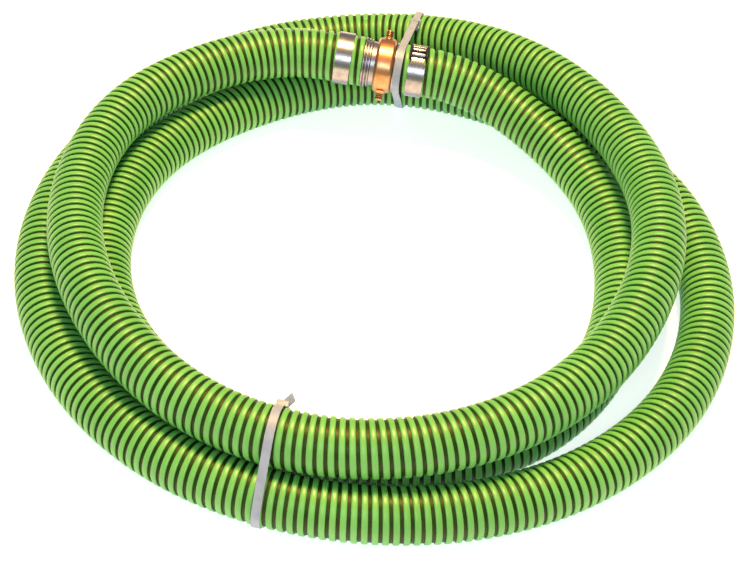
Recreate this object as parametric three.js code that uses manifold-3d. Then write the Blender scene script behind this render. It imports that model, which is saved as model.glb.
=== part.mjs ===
// A suction hose laid in a coil of three turns. Its two ends are joined by a swivel
// coupling at the back, and two cable ties hold the turns together.
// Millimetres, +Z up. The coil lies on the plane Z = 0, centred on the Z axis.
import * as THREE from 'three';
import { mergeVertices } from 'three/addons/utils/BufferGeometryUtils.js';
import Module from 'manifold-3d';

const wasm = await Module();
wasm.setup();

// Fits
const TOUCH_GAP = 0.3;            // between two pieces that bear on each other

// Hose
const HOSE_OUTSIDE = 60;          // over the green ribs
const HOSE_WALL = 4.6;
const HOSE_BORE = HOSE_OUTSIDE - 2 * HOSE_WALL;

// The way the hose lies. Each station is 30 degrees on from the last, clockwise seen from
// above: [hose widths outside COIL_RADIUS, hose widths from the floor to the hose's middle].
const COIL_RADIUS = 345;
const STATION_STEP = 30;
const FIRST_TURN = [
  [-0.77, 1.18], [-0.46, 0.60], [-0.69, 0.5], [-0.51, 0.5], [-0.34, 0.5], [-0.57, 0.54],
  [-0.70, 0.54], [-0.70, 0.5], [-0.79, 0.5], [-0.70, 0.5], [-0.67, 0.5],
];
const SECOND_TURN = [
  [-0.12, 0.56], [0.06, 0.5], [0.89, 0.5], [1.08, 0.5], [1.08, 0.5], [0.83, 0.5],
  [0.59, 0.54], [0.56, 0.54], [0.46, 0.5], [0.39, 0.5], [0.37, 0.5], [1.02, 0.5],
];
const THIRD_TURN = [
  [1.30, 0.64], [0.39, 1.66], [0.10, 1.52], [-0.10, 1.73], [-0.27, 1.42], [-0.01, 1.56],
  [0.00, 1.36], [-0.08, 1.34], [-0.27, 1.56], [-0.25, 1.34], [0.00, 1.42], [-0.44, 1.54],
];
const RINGS_PER_STATION = 3;      // sections of the hose between two stations
const LEAD_STEP = 20;             // spacing of the stations on the joint's own line

// The joint's line, at the back of the coil
const JOINT_ALONG = 4;            // the nut's middle, right of the coil's middle
const JOINT_OUT = -1.12;          // hose widths outside COIL_RADIUS
const JOINT_UP = 1.48;            // hose widths above the floor
const JOINT_YAW = -3.5;           // degrees that its right end is turned towards the front
const JOINT_FALL = 2.8;           // degrees that its right end lies lower

// Shank and collar sizes that both couplings share
const SHANK_WALL = 3.1;
const COUPLING_BORE = HOSE_BORE - 2 * (TOUCH_GAP + SHANK_WALL);
const SHANK_LENGTH = 40;          // the length inside the hose
const THREAD_STEP = 4.5;          // from the hose's bore out to the thread's crests
const THREAD_OUTSIDE = HOSE_BORE + 2 * THREAD_STEP;
const SEAT_THICKNESS = 2.9;       // the flange that the nut draws up
const NECK_STEP = 1.1;            // from the hose's bore out to the male neck
const NECK_OUTSIDE = HOSE_BORE + 2 * NECK_STEP;
const RING_STEP = 0.5;            // each ring of the male collar is this much lower
const RING_WIDTH = 2.2;
const RING_GROOVE = 1.3;
const MALE_COLLAR = 15.4;         // from the hose to the nut
const FEMALE_COLLAR_OUTSIDE = HOSE_OUTSIDE;
const FEMALE_COLLAR = 5.2;

// Swivel nut
const NUT_WALL = 3.1;             // over the thread
const NUT_OUTSIDE = THREAD_OUTSIDE + 2 * NUT_WALL;
const NUT_LENGTH = 22;
const NUT_CHAMFER = 2.5;
const NUT_LIP_LENGTH = 3;
const NUT_LIP_DEPTH = 2.4;        // how far the lip reaches in behind the seat
const NUT_LIP_BORE = THREAD_OUTSIDE - 2 * NUT_LIP_DEPTH;
const PIN_DIAMETER = 9.5;
const PIN_HEIGHT = 10.5;          // from the nut's outside to the pin's end
const PIN_ANGLE = 44;             // degrees up from the coil's outward side

// Band clamps
const BAND_THICKNESS = 1;
const LEFT_BAND_WIDTH = 19;
const RIGHT_BAND_WIDTH = 20;
const LEFT_BAND_FROM_END = 23;    // hose end to the middle of the band
const RIGHT_BAND_FROM_END = 22.4;
const BUCKLE_LENGTH = 18;
const BUCKLE_HEIGHT = 5;
const LEFT_BUCKLE_ANGLE = 10;     // degrees up from the coil's outward side
const RIGHT_BUCKLE_ANGLE = 96;

// Cable ties. Each stands on a plane through (x, y), square to the direction turn, and its
// head sits on one of the strands inside it, counted from the coil's middle outwards.
const STRAP_WIDTH = 9;
const STRAP_THICKNESS = 1.5;
const HEAD_LENGTH = 14;
const HEAD_WIDTH = 13;
const HEAD_HEIGHT = 8;
const REAR_TIE_FROM_COLLAR = 9.8; // along the joint, from the female collar
const TIE_INSIDE = 24;            // the ties' points lie this far inside COIL_RADIUS
const REAR_TIE = {
  x: JOINT_ALONG + NUT_LENGTH / 2 + FEMALE_COLLAR + REAR_TIE_FROM_COLLAR,
  y: COIL_RADIUS - TIE_INSIDE,
  turn: -8, strand: 2, headAngle: 118, tail: 9, tailLean: -10, tailBack: 10,
};
const FRONT_TIE = {
  x: -65, y: TIE_INSIDE - COIL_RADIUS,
  turn: 172, strand: 1, headAngle: 172, tail: 15, tailLean: 38, tailBack: 38,
};

// Facets
const HOSE_SIDES = 20;
const BORE_SIDES = 12;
const TURNED_SIDES = 40;
const PIN_SIDES = 16;
const STRAP_SIDES = 24;

const radians = THREE.MathUtils.degToRad;
const UP = new THREE.Vector3(0, 0, 1);

// Radius of the corners of a polygon whose flats lie at radius r
const corner = (r, sides) => r / Math.cos(Math.PI / sides);

const paint = {
  hose: new THREE.MeshStandardMaterial({ color: 0x6fbf55, roughness: 0.45, metalness: 0 }),
  aluminium: new THREE.MeshStandardMaterial({ color: 0xb9b7ba, roughness: 0.35, metalness: 1 }),
  brass: new THREE.MeshStandardMaterial({ color: 0xc98a4a, roughness: 0.35, metalness: 1 }),
  steel: new THREE.MeshStandardMaterial({ color: 0xc8c6c4, roughness: 0.22, metalness: 1 }),
  nylon: new THREE.MeshStandardMaterial({ color: 0xd6d6de, roughness: 0.4, metalness: 0 }),
};

// The joint's line: a point on it and the frame of the pieces that turn about it.
// In that frame Y runs from the left hose end to the right one and X points outwards.
const jointMiddle = new THREE.Vector3(
  JOINT_ALONG,
  COIL_RADIUS + JOINT_OUT * HOSE_OUTSIDE,
  JOINT_UP * HOSE_OUTSIDE,
);
const jointLine = new THREE.Vector3(
  Math.cos(radians(JOINT_YAW)) * Math.cos(radians(JOINT_FALL)),
  Math.sin(radians(JOINT_YAW)) * Math.cos(radians(JOINT_FALL)),
  -Math.sin(radians(JOINT_FALL)),
);
const jointOutward = new THREE.Vector3().crossVectors(UP, jointLine).normalize();
const jointFrame = new THREE.Matrix4().makeBasis(
  jointOutward,
  jointLine,
  new THREE.Vector3().crossVectors(jointOutward, jointLine),
);

// Places along the joint's line, from the nut's middle
const nutLeft = -NUT_LENGTH / 2;
const nutRight = NUT_LENGTH / 2;
const leftHoseEnd = nutLeft - MALE_COLLAR - TOUCH_GAP;
const rightHoseEnd = nutRight + TOUCH_GAP + FEMALE_COLLAR + TOUCH_GAP;
const lipFace = nutRight - NUT_LIP_LENGTH;
const seatFace = lipFace - TOUCH_GAP - SEAT_THICKNESS;
const threadEnd = seatFace - TOUCH_GAP;

const onJointLine = (s) => jointMiddle.clone().addScaledVector(jointLine, s);

// The hose's middle line: an even cubic B-spline drawn by the stations, straight where the
// shanks are. Its sections stand upright, so that their lowest flat is level.
class HoseRoute extends THREE.Curve {
  constructor(stations) {
    super();
    this.stations = stations;
    this.spans = stations.length - 3;
  }

  getPoint(t, target = new THREE.Vector3()) {
    const place = Math.min(t, 1) * this.spans;
    const i = Math.min(Math.floor(place), this.spans - 1);
    const u = place - i;
    const weights = [
      (1 - u) ** 3,
      3 * u ** 3 - 6 * u ** 2 + 4,
      -3 * u ** 3 + 3 * u ** 2 + 3 * u + 1,
      u ** 3,
    ];
    target.set(0, 0, 0);
    weights.forEach((w, k) => target.addScaledVector(this.stations[i + k], w / 6));
    return target;
  }

  getSpacedPoints(divisions) {
    return this.getPoints(divisions);
  }

  computeFrenetFrames(segments) {
    const tangents = [];
    const normals = [];
    const binormals = [];
    for (let i = 0; i <= segments; i++) {
      const tangent = this.getTangent(i / segments);
      const side = new THREE.Vector3().crossVectors(UP, tangent).normalize();
      tangents.push(tangent);
      normals.push(side);
      binormals.push(new THREE.Vector3().crossVectors(tangent, side));
    }
    return { tangents, normals, binormals };
  }
}

function coilStation([out, up], index) {
  const angle = radians((index + 1) * STATION_STEP);
  const radius = COIL_RADIUS + out * HOSE_OUTSIDE;
  return new THREE.Vector3(radius * Math.sin(angle), radius * Math.cos(angle), up * HOSE_OUTSIDE);
}

function hoseRoute() {
  const leads = [-1, 0, 1, 2, 3].map((k) => k * LEAD_STEP);
  const start = leads.map((s) => onJointLine(rightHoseEnd + s));
  const end = leads.map((s) => onJointLine(leftHoseEnd - s)).reverse();
  const coil = [...FIRST_TURN, ...SECOND_TURN, ...THIRD_TURN].map(coilStation);
  return new HoseRoute([...start, ...coil, ...end]);
}
const route = hoseRoute();

// A regular polygon whose flats lie at radius r, with one flat at the bottom
function polygon(r, sides) {
  const points = [];
  for (let i = 0; i < sides; i++) {
    const angle = ((i + 0.5) / sides) * 2 * Math.PI;
    const reach = corner(r, sides);
    points.push(new THREE.Vector2(reach * Math.cos(angle), reach * Math.sin(angle)));
  }
  return points;
}

function makeHose() {
  const section = new THREE.Shape(polygon(HOSE_OUTSIDE / 2, HOSE_SIDES));
  section.holes.push(new THREE.Path(polygon(HOSE_BORE / 2, BORE_SIDES)));
  return new THREE.ExtrudeGeometry(section, {
    steps: route.spans * RINGS_PER_STATION,
    extrudePath: route,
  });
}

// Booleans on closed meshes
function toSolid(geometry) {
  const bare = geometry.clone();
  bare.deleteAttribute('normal');
  bare.deleteAttribute('uv');
  const merged = mergeVertices(bare, 1e-4);
  return new wasm.Manifold(new wasm.Mesh({
    numProp: 3,
    vertProperties: new Float32Array(merged.attributes.position.array),
    triVerts: new Uint32Array(merged.index.array),
  }));
}

function toGeometry(solid) {
  const mesh = solid.getMesh();
  const geometry = new THREE.BufferGeometry();
  geometry.setAttribute('position', new THREE.BufferAttribute(mesh.vertProperties, 3));
  geometry.setIndex(new THREE.BufferAttribute(mesh.triVerts, 1));
  geometry.computeVertexNormals();
  return geometry;
}

// A turned piece about Y with a through bore: its outside is a list of [radius, place]
// from left to right, its inside the same from right to left
function turned(outside, inside) {
  const bored = inside.map(([r, y]) => [corner(r, TURNED_SIDES), y]);
  const loop = [...outside, ...bored, outside[0]];
  return new THREE.LatheGeometry(loop.map(([r, y]) => new THREE.Vector2(r, y)), TURNED_SIDES);
}

const shankRadius = HOSE_BORE / 2 - TOUCH_GAP;
const threadRadius = THREAD_OUTSIDE / 2;
const boreRadius = COUPLING_BORE / 2;

function makeMaleCoupling() {
  const shankEnd = leftHoseEnd - SHANK_LENGTH;
  const outside = [[shankRadius, shankEnd]];
  let place = leftHoseEnd + TOUCH_GAP;
  outside.push([shankRadius, place]);
  for (const ring of [0, 1, 2]) {
    const crest = HOSE_OUTSIDE / 2 - ring * RING_STEP;
    outside.push([crest, place], [crest, place + RING_WIDTH]);
    outside.push([NECK_OUTSIDE / 2, place + RING_WIDTH]);
    place += RING_WIDTH + RING_GROOVE;
    outside.push([NECK_OUTSIDE / 2, place]);
  }
  outside.pop();
  const threadStart = nutLeft + TOUCH_GAP;
  outside.push([NECK_OUTSIDE / 2, threadStart]);
  outside.push([threadRadius, threadStart], [threadRadius, threadEnd]);
  return turned(outside, [[boreRadius, threadEnd], [boreRadius, shankEnd]]);
}

function makeFemaleShank() {
  const neckRadius = NUT_LIP_BORE / 2 - TOUCH_GAP;
  const collarRadius = FEMALE_COLLAR_OUTSIDE / 2;
  const collarLeft = nutRight + TOUCH_GAP;
  const collarRight = rightHoseEnd - TOUCH_GAP;
  const shankEnd = rightHoseEnd + SHANK_LENGTH;
  return turned([
    [threadRadius, seatFace],
    [threadRadius, seatFace + SEAT_THICKNESS],
    [neckRadius, seatFace + SEAT_THICKNESS],
    [neckRadius, collarLeft],
    [collarRadius, collarLeft],
    [collarRadius, collarRight],
    [shankRadius, collarRight],
    [shankRadius, shankEnd],
  ], [[boreRadius, shankEnd], [boreRadius, seatFace]]);
}

function makeSwivelNut() {
  const outer = NUT_OUTSIDE / 2;
  const threadBore = threadRadius + TOUCH_GAP;
  const body = turned([
    [outer - NUT_CHAMFER, nutLeft],
    [outer, nutLeft + NUT_CHAMFER],
    [outer, nutRight - NUT_CHAMFER],
    [outer - NUT_CHAMFER, nutRight],
  ], [
    [NUT_LIP_BORE / 2, nutRight],
    [NUT_LIP_BORE / 2, lipFace],
    [threadBore, lipFace],
    [threadBore, nutLeft],
  ]);
  const root = (threadBore + outer) / 2;
  const pinLength = outer + PIN_HEIGHT - root;
  const pin = new THREE.CylinderGeometry(PIN_DIAMETER / 2, PIN_DIAMETER / 2, pinLength, PIN_SIDES);
  let solid = toSolid(body);
  for (const side of [0, Math.PI]) {
    const placed = pin.clone();
    placed.translate(0, root + pinLength / 2, 0);
    placed.rotateZ(-Math.PI / 2);
    placed.rotateY(side);
    solid = solid.add(toSolid(placed));
  }
  const geometry = toGeometry(solid);
  geometry.rotateY(radians(PIN_ANGLE));
  return geometry;
}

// A band around the hose with its buckle, the band's middle at place on the joint's line
function makeBandClamp(width, place, buckleAngle) {
  const inner = corner(HOSE_OUTSIDE / 2, HOSE_SIDES) + TOUCH_GAP;
  const outer = inner + BAND_THICKNESS;
  const left = place - width / 2;
  const right = place + width / 2;
  const band = turned([[outer, left], [outer, right]], [[inner, right], [inner, left]]);
  const buckle = new THREE.BoxGeometry(BUCKLE_HEIGHT, width, BUCKLE_LENGTH);
  buckle.translate(inner + BAND_THICKNESS / 2 + BUCKLE_HEIGHT / 2, place, 0);
  buckle.rotateY(radians(buckleAngle));
  return toGeometry(toSolid(band).add(toSolid(buckle)));
}

// The convex outline of a set of points in a plane, anticlockwise
function outline(points) {
  const sorted = [...points].sort((a, b) => a.x - b.x || a.y - b.y);
  const half = (list) => {
    const chain = [];
    for (const p of list) {
      while (chain.length > 1) {
        const [a, b] = chain.slice(-2);
        const turn = (b.x - a.x) * (p.y - a.y) - (b.y - a.y) * (p.x - a.x);
        if (turn > 1e-6) break;
        chain.pop();
      }
      chain.push(p);
    }
    return chain.slice(0, -1);
  };
  return [...half(sorted), ...half(sorted.reverse())];
}

// Where the hose passes through a tie's upright plane. In the plane X points away from the
// coil's middle and Y up. A strand that crosses it askew shows an oval, which the strap's
// width makes wider still.
function strandsInside(tie, across, outward) {
  const found = [];
  let last = null;
  const middle = new THREE.Vector3(tie.x, tie.y, 0);
  const loop = new THREE.CatmullRomCurve3([
    ...route.getPoints(route.spans * RINGS_PER_STATION),
    onJointLine(leftHoseEnd / 2),
    onJointLine(rightHoseEnd / 2),
  ], true).points;
  for (const point of [...loop, loop[0]]) {
    const from = point.clone().sub(middle);
    const gap = from.dot(across);
    const near = Math.abs(from.dot(outward)) < COIL_RADIUS / 2;
    if (near && last && Math.sign(gap) !== Math.sign(last.gap)) {
      const step = point.clone().sub(last.point);
      const crossing = last.point.clone().addScaledVector(step, last.gap / (last.gap - gap));
      step.normalize();
      const clear = corner(HOSE_OUTSIDE / 2, HOSE_SIDES);
      const sideways = Math.abs(step.dot(outward) / step.dot(across));
      const upwards = Math.abs(step.z / step.dot(across));
      found.push({
        x: crossing.clone().sub(middle).dot(outward),
        y: crossing.z,
        halfWidth: clear * Math.hypot(1, sideways) + (STRAP_WIDTH / 2) * sideways + TOUCH_GAP,
        halfHeight: clear * Math.hypot(1, upwards) + (STRAP_WIDTH / 2) * upwards + TOUCH_GAP,
      });
    }
    last = { point, gap };
  }
  return found.sort((a, b) => a.x - b.x);
}

// A cable tie pulled round the strands: strap, head and cut tail, in one moulding
function makeTie(tie) {
  const across = new THREE.Vector3(Math.cos(radians(tie.turn)), Math.sin(radians(tie.turn)), 0);
  const outward = new THREE.Vector3().crossVectors(UP, across);
  const strands = strandsInside(tie, across, outward);
  const ringAt = (grow) => outline(strands.flatMap((strand) => {
    const points = [];
    for (let i = 0; i < STRAP_SIDES; i++) {
      const angle = ((i + 0.5) / STRAP_SIDES) * 2 * Math.PI;
      points.push(new THREE.Vector2(
        strand.x + corner(strand.halfWidth + grow, STRAP_SIDES) * Math.cos(angle),
        strand.y + corner(strand.halfHeight + grow, STRAP_SIDES) * Math.sin(angle),
      ));
    }
    return points;
  }));
  const strap = new THREE.Shape(ringAt(STRAP_THICKNESS));
  strap.holes.push(new THREE.Path(ringAt(0)));
  const band = new THREE.ExtrudeGeometry(strap, { depth: STRAP_WIDTH, bevelEnabled: false });
  band.translate(0, 0, -STRAP_WIDTH / 2);

  const held = strands[tie.strand];
  const headAngle = radians(tie.headAngle);
  const seat = STRAP_THICKNESS / 2 + Math.hypot(
    held.halfWidth * Math.cos(headAngle),
    held.halfHeight * Math.sin(headAngle),
  );
  const head = new THREE.BoxGeometry(HEAD_HEIGHT, HEAD_LENGTH, HEAD_WIDTH);
  head.translate(seat + HEAD_HEIGHT / 2, 0, 0);
  const tail = new THREE.BoxGeometry(tie.tail, STRAP_THICKNESS, STRAP_WIDTH);
  tail.translate(tie.tail / 2, 0, 0);
  tail.rotateY(radians(tie.tailLean));
  tail.rotateZ(radians(-tie.tailBack));
  tail.translate(seat + HEAD_HEIGHT / 2, 0, 0);
  const solid = [head, tail].reduce((sum, piece) => {
    piece.rotateZ(headAngle);
    piece.translate(held.x, held.y, 0);
    return sum.add(toSolid(piece));
  }, toSolid(band));

  const geometry = toGeometry(solid);
  geometry.applyMatrix4(new THREE.Matrix4().makeBasis(outward, UP, across));
  geometry.translate(tie.x, tie.y, 0);
  return geometry;
}

function part(name, geometry, material) {
  const mesh = new THREE.Mesh(geometry, material);
  mesh.name = name;
  return mesh;
}

const leftBand = leftHoseEnd - LEFT_BAND_FROM_END;
const rightBand = rightHoseEnd + RIGHT_BAND_FROM_END;
const joint = new THREE.Group();
joint.add(
  part('male_coupling', makeMaleCoupling(), paint.aluminium),
  part('female_shank', makeFemaleShank(), paint.aluminium),
  part('swivel_nut', makeSwivelNut(), paint.brass),
  part('left_band_clamp', makeBandClamp(LEFT_BAND_WIDTH, leftBand, LEFT_BUCKLE_ANGLE), paint.steel),
  part('right_band_clamp', makeBandClamp(RIGHT_BAND_WIDTH, rightBand, RIGHT_BUCKLE_ANGLE), paint.steel),
);
joint.position.copy(jointMiddle);
joint.quaternion.setFromRotationMatrix(jointFrame);

const coil = new THREE.Group();
coil.add(
  part('hose', makeHose(), paint.hose),
  joint,
  part('rear_cable_tie', makeTie(REAR_TIE), paint.nylon),
  part('front_cable_tie', makeTie(FRONT_TIE), paint.nylon),
);

// The coil is centred on its own box and stands on the floor
coil.updateMatrixWorld(true);
const box = new THREE.Box3().setFromObject(coil, true);
const middle = box.getCenter(new THREE.Vector3());
coil.position.set(-middle.x, -middle.y, -box.min.z);
coil.updateMatrixWorld(true);

export default coil;
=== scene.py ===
"""A coiled suction hose whose two ends are joined by a swivel coupling.

Metres, +Z up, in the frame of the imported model. The hose lies on the floor Z = 0.
"""
import math

import bpy
import numpy as np
from bpy.props import FloatProperty, FloatVectorProperty, IntProperty, PointerProperty
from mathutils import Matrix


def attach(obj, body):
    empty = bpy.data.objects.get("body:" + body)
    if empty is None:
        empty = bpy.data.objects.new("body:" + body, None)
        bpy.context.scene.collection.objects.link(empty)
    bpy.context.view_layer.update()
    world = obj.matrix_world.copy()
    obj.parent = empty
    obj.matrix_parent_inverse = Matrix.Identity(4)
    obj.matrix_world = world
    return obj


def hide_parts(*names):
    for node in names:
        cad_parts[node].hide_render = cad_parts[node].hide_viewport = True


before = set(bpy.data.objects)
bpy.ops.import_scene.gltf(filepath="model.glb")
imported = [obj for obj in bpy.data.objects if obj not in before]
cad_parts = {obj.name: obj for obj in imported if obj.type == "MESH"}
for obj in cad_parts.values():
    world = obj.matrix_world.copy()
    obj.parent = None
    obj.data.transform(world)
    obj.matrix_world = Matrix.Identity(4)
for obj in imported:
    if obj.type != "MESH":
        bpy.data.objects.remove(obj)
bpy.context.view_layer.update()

bl_info = {
    "name": "Coiled suction hose",
    "version": (1, 0, 0),
    "blender": (4, 5, 0),
    "location": "View3D > Sidebar > Hose",
    "description": "Makes a ribbed suction hose in a coil, with its coupling, clamps and ties",
    "category": "Add Mesh",
}

MM = 0.001
TOUCH = 0.3 * MM

# The way the hose lies. Each station is 30 degrees on from the last, clockwise seen from
# above: hose widths outside COIL_RADIUS, hose widths from the floor to the hose's middle.
HOSE_OUTSIDE = 60 * MM
HOSE_BORE = 50.8 * MM
COIL_RADIUS = 345 * MM
COIL_SHIFT = np.array([-18.733, -14.278, 0.0]) * MM
STATIONS = np.array([
    [-0.77, 1.18], [-0.46, 0.60], [-0.69, 0.5], [-0.51, 0.5], [-0.34, 0.5], [-0.57, 0.54],
    [-0.70, 0.54], [-0.70, 0.5], [-0.79, 0.5], [-0.70, 0.5], [-0.67, 0.5],
    [-0.12, 0.56], [0.06, 0.5], [0.89, 0.5], [1.08, 0.5], [1.08, 0.5], [0.83, 0.5],
    [0.59, 0.54], [0.56, 0.54], [0.46, 0.5], [0.39, 0.5], [0.37, 0.5], [1.02, 0.5],
    [1.30, 0.64], [0.39, 1.66], [0.10, 1.52], [-0.10, 1.73], [-0.27, 1.42], [-0.01, 1.56],
    [0.00, 1.36], [-0.08, 1.34], [-0.27, 1.56], [-0.25, 1.34], [0.00, 1.42], [-0.44, 1.54],
])
STATION_STEP = math.radians(30)
LEAD_STEP = 20 * MM

# The joint's line runs from the left hose end to the right one
JOINT_MIDDLE = COIL_SHIFT + np.array([
    4 * MM, COIL_RADIUS - 1.12 * HOSE_OUTSIDE, 1.48 * HOSE_OUTSIDE])
JOINT_YAW, JOINT_FALL = math.radians(-3.5), math.radians(2.8)
UP = np.array([0.0, 0.0, 1.0])
JOINT_LINE = np.array([
    math.cos(JOINT_YAW) * math.cos(JOINT_FALL),
    math.sin(JOINT_YAW) * math.cos(JOINT_FALL),
    -math.sin(JOINT_FALL),
])
JOINT_OUTWARD = np.cross(UP, JOINT_LINE) / np.linalg.norm(np.cross(UP, JOINT_LINE))
JOINT_DOWN = np.cross(JOINT_OUTWARD, JOINT_LINE)

# Places along the joint's line, from the nut's middle
NUT_LEFT, NUT_RIGHT = -11 * MM, 11 * MM
LEFT_HOSE_END, RIGHT_HOSE_END = -26.7 * MM, 16.8 * MM
THREAD_END = 4.5 * MM
SEAT_FACE = 4.8 * MM
LIP_FACE = 8 * MM
LEFT_BAND, RIGHT_BAND = -49.7 * MM, 39.2 * MM

# Radii about the joint's line
COUPLING_BORE = 22 * MM
SHANK = 25.1 * MM
NECK = 26.5 * MM
FEMALE_NECK = 27.2 * MM
FEMALE_COLLAR = 30 * MM
NUT_LIP = 27.5 * MM
NUT_OUTER = 33 * MM
THREAD = 29.9 * MM
BAND_INNER = 30.67 * MM

SHANK_LENGTH = 40 * MM
BARB_STEP, BARB_DEPTH = 9.5 * MM, 0.9 * MM
THREAD_PITCH, THREAD_DEPTH, THREAD_FLAT = 2.2 * MM, 1.2 * MM, 1.0 * MM
THREAD_RUN_IN = 1.4 * MM
FLANGE = 2.9 * MM
NUT_CHAMFER_IN, NUT_CHAMFER_ALONG = 2.5 * MM, 2.6 * MM
# The male collar's rings: radius, then place from the collar's face, in millimetres
COLLAR = np.array([
    [28.8, 0], [30, 0.3], [30, 2.1], [26.5, 2.3], [26.5, 3.4], [29.5, 3.6], [29.5, 5.6],
    [26.5, 5.8], [26.5, 7.0], [29, 7.2], [29, 9.1], [26.9, 9.6]])

# Each pin of the nut: distance from the joint's line, then how much wider than PIN_RADIUS,
# in millimetres, then the painted shade there. Where the painted shade is 1 the pin has a groove.
PIN_RADIUS = 4.75 * MM
PIN_ANGLE = math.radians(44)        # up from the coil's outward side
PIN_PROFILE = np.array([
    [31.2, 2.6, 0], [32.6, 2.3, 0], [33.3, 1.1, 0], [34.3, 0.3, 0.3], [35.2, 0, 0.2],
    [35.5, -1, 1], [36.1, -1, 1], [36.4, 0, 0.25], [37.3, 0, 0.25], [37.6, -1, 1],
    [38.2, -1, 1], [38.5, 0, 0.2], [39.4, 0, 0.2], [39.7, -1, 1], [40.3, -1, 1],
    [40.6, 0, 0.1], [42.0, 0, 0], [42.9, -0.6, 0], [43.35, -1.9, 0], [43.5, -3.2, 0]])

BAND_THICKNESS = 1 * MM
LEFT_BUCKLE, RIGHT_BUCKLE = math.radians(10), math.radians(96)   # up from the outward side
# Way round from the buckle's middle to where the band's width changes
BAND_KNOTS = np.array([-99, 8.6, 9.4, 13.2, 17.0, 19.6, 21.0, 25.0, 99]) * MM
BUCKLE_PLATE = 18 * MM
# Bars over the buckle's plate, then its cheeks: way round to the middle, length, height,
# distance from the band, in millimetres, then the painted shade there
BUCKLE_BARS = ((-0.4, 5.4, 4.1, 1.0, 0), (6.4, 3.8, 3.5, 0.9, 0), (-6.6, 3.6, 2.4, 0.7, 0.2))
BUCKLE_CHEEK = (0.1, 17.2, 4.5, 0.2, 0.5)

WALL_SECTIONS, WALL_SIDES = 440, 36
RIB_LENGTHS = 3
RIB_OUTLINE = 10

STRAP_WIDTH = 9 * MM
STRAP_THICKNESS = 1.5 * MM
HEAD = np.array([8.0, 14.0, 13.0]) * MM      # away from the strap, along it, across it
TIE_REACH = COIL_RADIUS / 2
# Where each tie's plane stands in the coil, in millimetres and degrees. The head sits on
# that strand, counted from the inside, and its tail leans from the strap's run.
TIES = {
    "rear": {"x": 30, "y": 321, "turn": -8, "strand": 2, "head": 118,
             "tail": 9, "lean": -10, "back": 10},
    "front": {"x": -65, "y": -321, "turn": 172, "strand": 1, "head": 172,
              "tail": 15, "lean": 38, "back": 38},
}

# The camera, at the height and turn that the coil was pictured from
CAMERA_TARGET = np.array([-0.413, -24.36, 0.0]) * MM
CAMERA_DISTANCE = 1950.85 * MM
CAMERA_RISE, CAMERA_ROLL = math.radians(44.1455), math.radians(5.5995)
SENSOR_WIDTH = 36
CAMERA_LENS = 1720.79 * SENSOR_WIDTH / 750      # as wide as 750 pixels

FLOOR_HALF = 30.0
OVERHEAD_LIGHT = {"colour": (1.0, 0.58, 0.22), "size": (1.0, 0.9), "place": (0.0, 0.93, 4.2)}
FRONT_LIGHT = {"colour": (0.84, 0.93, 1.0), "size": (0.8, 0.8), "place": (-0.2, -1.9, 1.7)}


# Lines

def on_joint_line(place):
    """The joint's middle, moved by place along its line."""
    return JOINT_MIDDLE + np.multiply.outer(np.asarray(place, float), JOINT_LINE)


class HoseLine:
    """The hose's middle line: an even cubic B-spline drawn by the stations.

    Each span is the sum of four stations weighted by (1-u)^3, 3u^3-6u^2+4,
    -3u^3+3u^2+3u+1 and u^3, over 6. It is measured along its length in metres, and its
    sections stand upright: sideways is up x tangent, upwards is tangent x sideways.
    """

    def __init__(self, per_span=64):
        angle = (np.arange(len(STATIONS)) + 1) * STATION_STEP
        radius = COIL_RADIUS + STATIONS[:, 0] * HOSE_OUTSIDE
        coil = COIL_SHIFT + np.stack(
            [radius * np.sin(angle), radius * np.cos(angle), STATIONS[:, 1] * HOSE_OUTSIDE], 1)
        lead = np.arange(-1, 4) * LEAD_STEP
        drawn = np.concatenate([
            on_joint_line(RIGHT_HOSE_END + lead), coil, on_joint_line(LEFT_HOSE_END - lead)[::-1]])
        u = np.arange(per_span) / per_span
        weight = np.stack(
            [(1 - u) ** 3, 3 * u**3 - 6 * u**2 + 4, -3 * u**3 + 3 * u**2 + 3 * u + 1, u**3], 1) / 6
        slope = np.stack(
            [-3 * (1 - u) ** 2, 9 * u**2 - 12 * u, -9 * u**2 + 6 * u + 3, 3 * u**2], 1) / 6
        four = drawn[np.arange(len(drawn) - 3)[:, None] + np.arange(4)]
        self.point = np.einsum("uk,skd->sud", weight, four).reshape(-1, 3)
        self.tangent = np.einsum("uk,skd->sud", slope, four).reshape(-1, 3)
        self.point = np.vstack([self.point, on_joint_line(LEFT_HOSE_END)])
        self.tangent = np.vstack([self.tangent, JOINT_LINE * LEAD_STEP])
        self.tangent /= np.linalg.norm(self.tangent, axis=1, keepdims=True)
        self.along = np.append(0, np.cumsum(np.linalg.norm(np.diff(self.point, axis=0), axis=1)))
        self.length = float(self.along[-1])

    def at(self, along):
        """Points, sideways and upwards directions at these lengths from the right hose end."""
        along = np.asarray(along, float)
        point = np.stack([np.interp(along, self.along, self.point[:, k]) for k in range(3)], -1)
        tangent = np.stack([np.interp(along, self.along, self.tangent[:, k]) for k in range(3)], -1)
        tangent /= np.linalg.norm(tangent, axis=-1, keepdims=True)
        sideways = np.cross(UP, tangent)
        sideways /= np.linalg.norm(sideways, axis=-1, keepdims=True)
        return point, sideways, np.cross(tangent, sideways)


HOSE = HoseLine()


# Meshes

def linked(name, data):
    """An object of this data, in the scene."""
    made = bpy.data.objects.new(name, data)
    bpy.context.scene.collection.objects.link(made)
    return made


def faces_inwards(points, faces):
    """True where the quads enclose a negative volume, the sum of a . (b x c + c x d)."""
    quads = np.array([face for face in faces if len(face) == 4])
    a, b, c, d = (points - points.mean(0))[quads].transpose(1, 0, 2)
    return np.einsum("ij,ij->", a, np.cross(b, c) + np.cross(c, d)) < 0


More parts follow.
